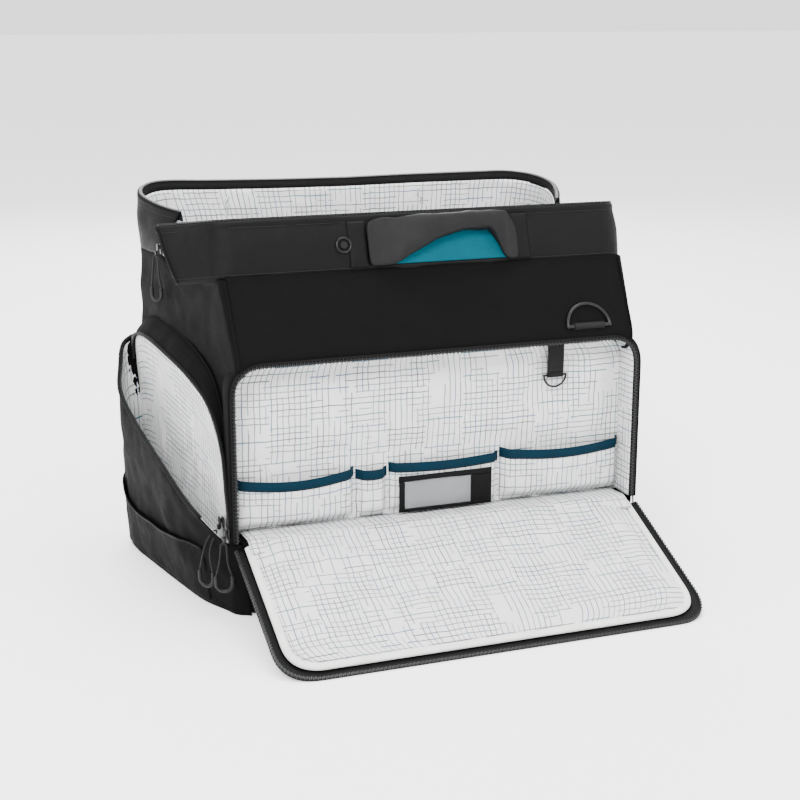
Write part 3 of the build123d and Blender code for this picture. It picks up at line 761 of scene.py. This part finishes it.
loft("ring_gusset", [ring_line(i, y)
                     for y, i in ((-136, 3.5), (-145, 0.9), (-156, 0), (-166, 0.2), (-172, 1.0))],
     "shell", thick=1.5, crease=(0.7, 40), replaced=("pocket_ring",), flip=True)
loft("ring_gusset_lining", [ring_line(i, y)
                            for i, y in ((8, -137), (8.2, -141), (8.4, -150), (8.4, -162), (7.6, -171))],
     "lining", thick=0.8, crease=(0.8, 34))
loft("ring_zip_tape", [ring_line(i, y)
                       for i, y in ((0.4, -172), (1.4, -174.4), (4.0, -175), (7.2, -174.6), (8.0, -172))],
     "zip", thick=0.8, replaced=("ring_zip",), flip=True)
bits("ring_zip_teeth", ring_line(6.2, -174.6), (0, -1, 0), 2.2, (1.3, 3.2, 1.7), stagger=0.5)
tube("ring_outer_piping", ring_line(0.6, -173.2), 1.7, "shell", up=(0, 1, 0))


def panel_point(u, v):
    z = lerp(HINGE_Z, RING_TOP - 7.2, v)
    over = max(z - 247, 0)
    half = 208.6 + math.sqrt(max(32**2 - over**2, 0))
    x = lerp(-half, half, u)
    soft = smooth(min(x + half, half - x, z - HINGE_Z + 20, RING_TOP - 8 - z) / 34)
    high = smooth(z, 158, 190)
    clear = smooth(math.hypot(x - 151, (z - 250) * 0.6), 16, 48)
    return (x, PANEL_Y - 0.4 - soft * clear * (1.0 + 4.5 * high), z)


def clear_of_key_loop(p):
    away = math.hypot(p.x - 151, (p.z - 250) * 0.6)
    return smooth(away, 14, 42) * (0.35 + 0.65 * smooth(p.z, 150, 175))


grid("organizer_back", panel_point, 110, 52, "lining", thick=1.2, crease=(2.8, 38),
     replaced=("organizer_panel",), edge=0.04, calm=clear_of_key_loop)


def pocket_sheet(name, left, right, top, depth, sag):
    """A compartment's face: sewn flat at its sides and foot, and standing off the panel at its top."""

    def at(u, v):
        x = lerp(left, right, u)
        z = lerp(88, top - sag * math.sin(math.pi * u), v)
        side = smooth(min(x - left, right - x) / 8)
        foot = smooth(v / 0.22)
        fullness = (0.62 + 0.38 * math.sin(math.pi * u)) * (0.75 + 0.25 * v)
        return (x, PANEL_Y - 0.8 - (depth - 1.6) * side * foot * fullness, z)

    sheet = grid(f"{name}_pocket_sheet", at, 44, 22, "lining", thick=1.0, crease=(1.1, 26),
                 replaced=(f"{name}_compartment",), edge=0.05)

    def hem_at(u, v):
        x, y, z = at(u, 1)
        back = at(u, 1 - 11 / (z - 88))
        low = mixed((x, y, z), back, 1)
        point = mixed(low, (x, y, z), min(v, 1))
        return (point[0], point[1] - 1.0 - 0.5 * math.sin(math.pi * min(v, 1)),
                point[2] + (0.6 if v == 1 else 0))

    hem = grid(f"{name}_pocket_hem", hem_at, 44, 4, "teal", thick=1.4, replaced=(f"{name}_hem",))
    stitches(f"{name}_hem_stitches",
             [Vector(hem_at(i / 44, 0.14)) + Vector((0, -0.2, 0)) for i in range(45)],
             (0, -1, 0), slot="teal")


for row in (("left", -238, -97, 150, 18, 6), ("pen", -95, -57, 146, 11, 1.5),
            ("middle", -55, 81, 150, 12, 2),
            ("right", 83, 238, 154, 18, 5)):
    pocket_sheet(*row)
for x in (-96, -56, 82):
    tube(f"divider_seam_{x + 100}", [(x, PANEL_Y - 1.6, z) for z in range(89, 146, 4)], 1.1, "lining")


def frame_bar(tag, left, right, low, high):
    def at(u, v):
        lift = 0.9 * smooth(min(u, 1 - u) / 0.2) * smooth(min(v, 1 - v) / 0.2)
        return (lerp(left, right, u), -153.2 - lift, lerp(low, high, v))

    return grid(f"window_frame_{tag}", at, 12, 12, "band", thick=1.6)


bars = [frame_bar(*b) for b in (("top", -46, 69, 128, 135), ("left", -46, -39, 92, 128),
                                ("right", 43, 69, 92, 128),
                                ("low", -39, 43, 92, 96))]
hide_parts("id_window_frame")
grid("clear_window", lambda u, v: (lerp(-40, 44, u), -152.9 - 0.8 * math.sin(3 * u) * v, lerp(94, 129, v)),
     16, 8,
     "vinyl", thick=0.5, replaced=("id_window",))
grid("window_backing", lambda u, v: (lerp(-40, 44, u), -152.0, lerp(94, 129, v)), 8, 4, "board", thick=0.4)

# ---------------------------------------------------------------- flap

DROP = math.asin(81.7 / FLAP_LEN)
FLAP_OUT = Vector((0, -math.cos(DROP), -math.sin(DROP)))
FLAP_UP = Vector((0, -math.sin(DROP), math.cos(DROP)))


def on_flap(x, reach, up):
    return Vector((x, FRONT_Y, HINGE_Z)) + FLAP_OUT * reach + FLAP_UP * up


def flap_line(inset, up, count=220):
    half, far = FLAP_HALF - inset, FLAP_LEN - inset
    corner = FLAP_ROUND - inset * 0.7
    line = rounded([(-half, 7, 0), (-half, far, 0), (half, far, 0), (half, 7, 0)], (corner, corner),
                   steps=12)
    return [on_flap(p.x, p.y, up) for p in resample(line, count)]


def flap_half(reach, inset):
    far = FLAP_LEN - inset
    corner = FLAP_ROUND - inset * 0.7
    over = max(reach - (far - corner), 0)
    return FLAP_HALF - inset - corner + math.sqrt(max(corner**2 - over**2, 0))


def flap_lining_point(u, v):
    reach = lerp(5, FLAP_LEN - 15, v)
    half = max(flap_half(reach, 15), 120)
    x = lerp(-half, half, u)
    edge = smooth(min(half - abs(x), FLAP_LEN - 13 - reach) / 36)
    near = 1 - smooth(reach, 10, 90)
    ripple = 1.6 * math.sin(x / 41 + reach / 60) * edge
    return on_flap(x, reach, 0.3 + 4.5 * edge + 3.0 * near * edge + ripple)


def flap_under_point(u, v):
    reach = lerp(6, FLAP_LEN - 4, v)
    half = flap_half(reach, 4)
    return on_flap(lerp(-half, half, u), reach, -5.6)


flap_lining = grid("flap_lining_sheet", flap_lining_point, 120, 60, "lining", body="flap", thick=0.0,
                   crease=(3.0, 44), edge=0.03, replaced=("flap_panel",), flip=True)
grid("flap_under_sheet", flap_under_point, 60, 24, "shell", body="flap", thick=0.8, crease=(0.4, 60))
loft("flap_zip_tape", [flap_line(i, n)
                       for i, n in ((13.0, -4.8), (8.0, -4.0), (4.0, -3.2), (0.6, -3.6), (0.4, -5.4),
                                    (5, -5.9))],
     "zip", body="flap", thick=0.8, replaced=("flap_zip",), flip=True)
bits("flap_zip_teeth", flap_line(1.8, -3.2), FLAP_UP, 2.2, (1.3, 3.2, 1.7), body="flap", stagger=0.5)
piping = tube("flap_piping_roll", flap_line(16.0, -1.4), 4.6, "piping", body="flap", sides=12, squeeze=0.72,
              up=FLAP_UP)
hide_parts("flap_piping")
stitches("flap_piping_stitches", flap_line(21.0, 0.6), FLAP_UP, body="flap", slot="piping")

HINGE_BLEND = ("bag", "flap", (0, -172, 88), (0, -190, 80))
inner_hinge = [(-141, 88.4), (-152, 88.8), (-163, 89.4), (-171, 90.2), (-177, 90.0), (-182, 88.2),
               (-188, 84.8), (-196, 80.6)]
loft("hinge_lining", [[Vector((lerp(-231, 231, i / 80), y, z)) for i in range(81)] for y, z in inner_hinge],
     "lining",
     body=HINGE_BLEND, thick=0.8, crease=(1.0, 30), flip=True)
outer_hinge = [(-174.4, 72), (-176.2, 78), (-178.4, 81), (-183, 78.6), (-188.5, 75.2)]
loft("hinge_shell", [[Vector((lerp(-237, 237, i / 80), y, z)) for i in range(81)] for y, z in outer_hinge],
     "shell",
     body=HINGE_BLEND, thick=1.0)

# ---------------------------------------------------------------- rings and straps


def strap_patch(name, point, body):
    def at(u, v):
        lift = 1.0 * smooth(min(u, 1 - u) / 0.2) * smooth(min(v, 1 - v) / 0.2)
        return point(lerp(-20, 20, u), lerp(-5, 3, v), 0.8 + lift)

    grid(name, at, 14, 8, "webbing", body=body, thick=1.6)


slope_up = Vector((0, FOLD_Y - FRONT_Y, FOLD_Z - RING_TOP)).normalized()
slope_out = Vector((0, -slope_up.z, slope_up.y))
front_foot = Vector((180, shoulder_y(298), 298))
strap_patch("front_ring_patch",
            lambda x, h, o: front_foot + Vector((x, 0, 0)) + slope_up * h + slope_out * (o + 1.6), "bag")
strap_patch("rear_ring_patch", lambda x, h, o: Vector((-180 + x, REAR_Y + o + 1.0, 335 - h)), "bag")


def key_point(u, v):
    x = lerp(141, 161, u)
    z = lerp(239, 278.5, v)
    return (x, -147.6 - 0.8 * math.sin(math.pi * v) - 0.3 * math.cos(2 * math.pi * u), z)


key = grid("key_webbing", key_point, 10, 20, "webbing", body="key_strap", thick=1.8)
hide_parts("key_strap")
tube("key_loop", [(x, -146, 236.5) for x in (141.4, 145, 151, 157, 160.6)], 2.9, "webbing",
     body="key_strap", sides=12)
stitches("key_strap_stitches", [(x, -149.0, 243.5) for x in (142, 147, 152, 157, 160)], (0, -1, 0),
         body="key_strap",
         slot="webbing")

# ---------------------------------------------------------------- side pockets

LEFT_BLEND = ("bag", "left_door", (-285, 0, 80), (-285, 0, 100))
RIGHT_BLEND = ("bag", "right_door", (285, 0, 80), (285, 0, 100))
FLOOR_LINE = [(-274, 157, 1), (-278, 150, 1), (-304, 118, 1), (-305, 80, 1), (-298, 39, 1), (-281, -49, 1),
              (-267, -112, 1), (-250, -150, 1),
              (-243, -166, 1), (-228, -175.5, 1)]
EDGE_LINE = [(-273.5, 157, 262), (-277, 150, 262), (-301, 143, 250), (-310, 124, 224), (-316, 96, 200),
             (-312, 39, 178), (-300, -49, 150),
             (-283, -119, 118), (-256, -165, 88), (-236, -176, 84)]


DOOR_ZIP_FRONT, DOOR_ZIP_REAR = -140, 148
# The left zip on the wall has no tape or teeth behind and below this.
ZIP_STOP_Y, ZIP_STOP_Z = 138, 222
LINING_FRONT, LINING_REAR = -132, 138
WALL_REAR = 152


def left_row(v, inward=0.0, top=1.0):
    line = []
    for low, high in zip(FLOOR_LINE, EDGE_LINE):
        t = v * top
        p = Vector(mixed(low, high, t))
        p.x -= 5 * math.sin(math.pi * t) * smooth(150 - abs(p.y), 0, 60)
        p.x += inward
        line.append(p)
    return resample(curved(line), 80)


def door_zip_line(inward):
    return [p for p in left_row(1.0, inward) if DOOR_ZIP_FRONT < p.y < DOOR_ZIP_REAR]


loft("left_pocket_shell", [left_row(v / 30) for v in range(31)], "shell", body=LEFT_BLEND, thick=1.6,
     crease=(3.4, 54), edge=0.05, replaced=("left_pocket_door", "left_pocket_panel"))
loft("left_pocket_inner", [left_row(v / 24, 2.6, 0.985)[1:-6] for v in range(25)], "lining",
     body=LEFT_BLEND,
     thick=0.6, crease=(3.4, 54), edge=0.05, flip=False)
tube("left_door_zip_tape", door_zip_line(1.0), 2.6, "zip", body="left_door", squeeze=0.8)
bits("left_door_teeth", door_zip_line(2.6), (1, 0, 0.6), 2.2, (1.3, 3.0, 1.6), body="left_door",
     stagger=0.5)

ARCH_ON_WALL = [(-160, 92), (-153, 150), (-140, 205), (-114, 252), (-70, 274), (0, 288), (70, 294),
                (118, 284), (143, 262),
                (151, 225), (153, 150), (152, 90)]
ZIP_EDGE = [(-166, 86, 8), (-162, 140, 10), (-150, 190, 10.5), (-122, 232, 13.5), (-72, 254, 18),
            (0, 266, 20), (70, 272, 20),
            (114, 266, 18), (138, 250, 14), (147, 218, 10), (151, 150, 6), (152, 90, 4)]


def wall_arch(side, proud=0.0):
    line = [Vector((side * (half_width(y) + proud), y, z)) for y, z in ARCH_ON_WALL]
    return resample(curved(line), 90)


def zip_edge(side, proud=0.0):
    line = [Vector((side * (half_width(y) + out + proud), y, z)) for y, z, out in ZIP_EDGE]
    return resample(curved(line), 90)


def open_zip_edge(side, proud):
    return [p for p in zip_edge(side, proud) if side > 0 or p.y < ZIP_STOP_Y or p.z > ZIP_STOP_Z]


def gusset_rows(side):
    top, low = wall_arch(side, 1.5), zip_edge(side)
    rows = []
    for v in (0, 0.2, 0.4, 0.6, 0.8, 1):
        row = [p.lerp(q, v) for p, q in zip(top, low)]
        for p in row:
            p.x += side * 3.0 * math.sin(math.pi * v)
        rows.append(row)
    return rows


for side, tag, flip in ((-1, "left", False), (1, "right", True)):
    loft(f"{tag}_pocket_gusset", gusset_rows(side), "shell", thick=1.6, crease=(1.2, 34), flip=flip,
         edge=0.04)
    tube(f"{tag}_arch_seam", wall_arch(side, 2.0), 1.4, "shell")
    tape = tube(f"{tag}_zip_edge_tape", open_zip_edge(side, -0.6), 2.4, "zip", squeeze=0.8)
    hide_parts(f"{tag}_pocket_zip")
    bits(f"{tag}_zip_teeth", open_zip_edge(side, 1.0), lambda p, s=side: (s, 0, -0.6), 2.2, (1.3, 3.0, 1.6),
         stagger=0.5)


def wall_lining_rows():
    """The pocket's lining on the wall side, from the floor to just inside the zip edge."""
    top = zip_edge(-1, -2.2)[4:-2]
    rows = []
    for j in range(41):
        v = j / 40
        row = []
        for p in top:
            y = min(max(p.y, LINING_FRONT), LINING_REAR)
            low = Vector((-half_width(y) - 8.0, y, 6))
            q = low.lerp(p, v)
            wall = -half_width(q.y) * wall_bulge(q.y, q.z) - 1.6 - 5.0 * smooth(WALL_REAR - q.y, 4, 26)
            q.x = lerp(wall, p.x, smooth(v, 0.7, 1.0))
            row.append(q)
        rows.append(row)
    return rows


loft("left_wall_lining", wall_lining_rows(), "lining", thick=0.6, crease=(1.3, 40), flip=True)


PANEL_ROWS = [left_row(v / 30) for v in range(31)]


def on_left_panel(along, z):
    """The point of the left pocket's outer face at a share of its length and a height."""
    k = along * 80
    share = z / PANEL_ROWS[-1][round(k)].z * 30
    j, i = min(int(share), 29), min(int(k), 79)
    low = PANEL_ROWS[j][i].lerp(PANEL_ROWS[j][i + 1], k - i)
    high = PANEL_ROWS[j + 1][i].lerp(PANEL_ROWS[j + 1][i + 1], k - i)
    return low.lerp(high, share - j)


def slip_point(u, v):
    p = on_left_panel(lerp(0.02, 0.84, u), lerp(6, 90 - 34 * smooth(u, 0, 0.4) + 10 * smooth(u, 0.6, 1), v))
    gather = 0.3 * math.sin(u * 31) * smooth(v, 0, 0.4) + 1.6 * smooth(v) * math.sin(math.pi * u)
    return Vector((p.x - 2.6 - gather, p.y, p.z))


slip = grid("left_slip_sheet", slip_point, 80, 18, "shell", thick=1.0, crease=(1.2, 22),
            replaced=("left_slip_pocket",))
tube("left_slip_binding", [slip_point(i / 60, 1) + Vector((-0.6, 0, 0.6)) for i in range(61)], 1.2, "band")


def tab_point(u, v):
    proud = Vector((-2.6 - math.sin(math.pi * u), 1.6, 0))
    return on_left_panel(lerp(0.045, 0.080, u), lerp(82, 98, v)) + proud


grid("left_pocket_tab", tab_point, 8, 8, "band", thick=1.4)


def right_row(v):
    """The closed right pocket from the floor to its zip edge."""
    floor = [(-x, y, z) for x, y, z in FLOOR_LINE]
    top = resample([Vector((half_width(y) + out, y, z)) for y, z, out in ZIP_EDGE], 40)
    top = [p for p in reversed(top)]
    low = resample(curved(floor), 40)
    row = []
    for p, q in zip(low, top):
        t = smooth(v) * 0.35 + v * 0.65
        r = Vector((lerp(p.x, q.x, smooth(v, 0.3, 1.0)), lerp(p.y, q.y, t), lerp(p.z, q.z, v)))
        row.append(r)
    return resample(row, 80)


loft("right_pocket_shell", [right_row(v / 30) for v in range(31)], "shell", body=RIGHT_BLEND, thick=1.6,
     crease=(2.4, 54), edge=0.05, flip=True, replaced=("right_pocket_door", "right_pocket_panel"))

# ---------------------------------------------------------------- sliders and pulls


def block(centre, size, bevel):
    work = bmesh.new()
    bmesh.ops.create_cube(work, size=1.0)
    for v in work.verts:
        v.co = Vector((v.co.x * size[0], v.co.y * size[1], v.co.z * size[2])) + Vector(centre)
    bmesh.ops.bevel(work, geom=work.edges[:], offset=bevel, segments=2, affect="EDGES", profile=0.6)
    points = [v.co.copy() for v in work.verts]
    faces = [tuple(v.index for v in f.verts) for f in work.faces]
    work.free()
    return points, faces


# Name, the slider's centre, side, how far forwards the pull hangs, the way its loop spreads, the grip's
# radius, the cord's drop, the strand's reach outwards at four heights, and the cord's length in metres.
PULLS = (
    ("mouth", (-268.7, 55, 378), -1, 0, (0.64, -0.768), 7, 38, (0, 0.7, 0, 0), 0.0804),
    ("flap", (-252.8, -170, 97), -1, 6, (0.94, -0.341), 9, 38, (0, 0.7, 0, 0), 0.0813),
    ("left_pocket", (-252.8, -148, 104), -1, 3, (0.64, -0.768), 9, 46, (14, 14.5, 11, 2), 0.1026),
    ("right_pocket", (252.8, -148, 95), 1, 0, (0, 1), 7, 40, (0, 0.7, 0, 0), 0.0844),
)
for name, centre, side, forwards, spread, grip_r, drop, reach, length in PULLS:
    cx, cy, cz = centre
    points, faces = [], []
    lug = (cx + side * 3.8, cy - forwards * 0.6, cz - 4.4)
    for at, size, bevel in (((cx + side * 1.9, cy, cz), (2.0, 8.6, 12.6), 0.8),
                            ((cx - side * 1.9, cy, cz), (2.0, 8.6, 12.6), 0.8),
                            ((cx, cy, cz + 2.4), (3.4, 2.6, 5.0), 0.6),
                            (lug, (3.0, 3.2 + forwards * 0.9, 5.0), 0.6)):
        more, shape = block(at, size, bevel)
        faces += [tuple(k + len(points) for k in f) for f in shape]
        points += more
    place(new_mesh(f"{name}_slider_body", points, faces), f"{name}_slider", "metal", "metal",
          (f"{name}_slider",))
    x, y = cx + side * 5, cy - forwards
    foot = cz - 6.5 - 0.3 - 1 - drop
    strand = list(zip((grip_r, 4.8, 3.6, 3.0), reach, (0, 0.33 * drop, 0.72 * drop, drop)))
    route = [(x + side * out + turn * wide * spread[0], y + turn * wide * spread[1], foot + up)
             for turn, strands in ((-1, strand), (1, strand[::-1])) for wide, out, up in strands]
    line = bpy.data.curves.new(f"{name}_cord_line", "CURVE")
    line.dimensions = "3D"
    spline = line.splines.new("NURBS")
    spline.points.add(len(route) - 1)
    for spot, p in zip(spline.points, route):
        spot.co = (*(c * MM for c in p), 1)
    spline.order_u = 3
    spline.use_endpoint_u = True
    line.bevel_depth = 1.0 * MM
    line.bevel_resolution = 3
    line.resolution_u = 12
    cord = bpy.data.objects.new(f"{name}_cord_loop", line)
    scene.collection.objects.link(cord)
    place(cord, f"{name}_pull", "cord", "cord", (f"{name}_pull_cord",))

# ---------------------------------------------------------------- nodes kept from the CAD model

KEPT = {"front_d_ring": "metal", "rear_d_ring": "metal", "key_ring": "metal", "snap_stud": "metal",
        "front_ring_loop": "webbing_cad", "rear_ring_loop": "webbing_cad", "base_board": "board",
        "front_frame_stay": "steel"}
KEPT.update({f"{name}_pull_grip": "grip" for name, *_ in PULLS})
for node, finish_name in KEPT.items():
    obj = nodes[node]
    obj.data.materials.clear()
    obj.data.materials.append(MATERIALS[finish_name])

# ---------------------------------------------------------------- floor

floor_mesh = bpy.data.meshes.new("floor")
span = 40.0
floor_mesh.from_pydata([(-span, -span, 0), (span, -span, 0), (span, span, 0), (-span, span, 0)], [],
                       [(0, 1, 2, 3)])
floor = bpy.data.objects.new("floor", floor_mesh)
scene.collection.objects.link(floor)
g = Graph("floor", (0.9, 0.9, 0.9), 0.9, Emission_Color=(1, 1, 1, 1), Emission_Strength=0.5)
g.set("Base Color", g.mix(g.noise(g.coordinates("Object"), 3, 2), (0.89, 0.89, 0.89, 1),
                          (0.91, 0.91, 0.91, 1)))
floor_mesh.materials.append(g.material)
